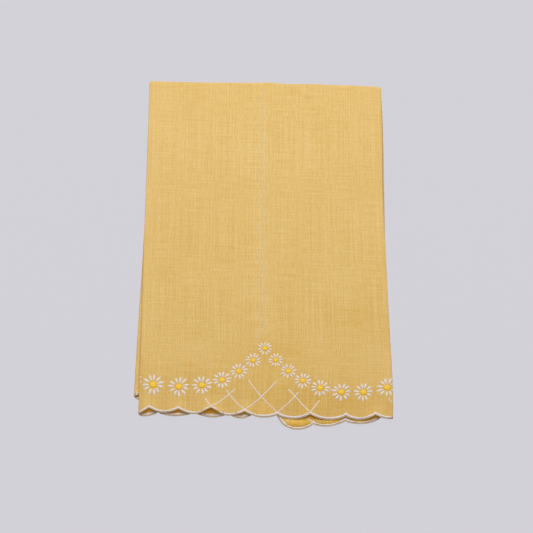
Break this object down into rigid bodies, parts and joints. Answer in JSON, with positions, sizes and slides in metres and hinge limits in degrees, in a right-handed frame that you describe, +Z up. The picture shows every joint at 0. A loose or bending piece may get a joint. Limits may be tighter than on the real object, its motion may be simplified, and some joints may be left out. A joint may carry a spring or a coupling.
{
  "type": "hand towel",
  "caption": "Yellow linen hand towel with scalloped, embroidered edges, its sides folded behind and then folded in half, lying flat.",
  "frame": {"origin": "middle of the folded towel's box, on the surface that it lies on", "axes": "+Y up the towel from the hems to the top fold, +X across it to the right as its front is read, +Z up through the folded layers"},
  "size_m": [0.1833, 0.2932, 0.0066],
  "materials": {
    "linen": "matte yellow linen, plain weave"
  },
  "bodies": {
    "root": {"towel": "linen"}
  },
  "joints": []
}
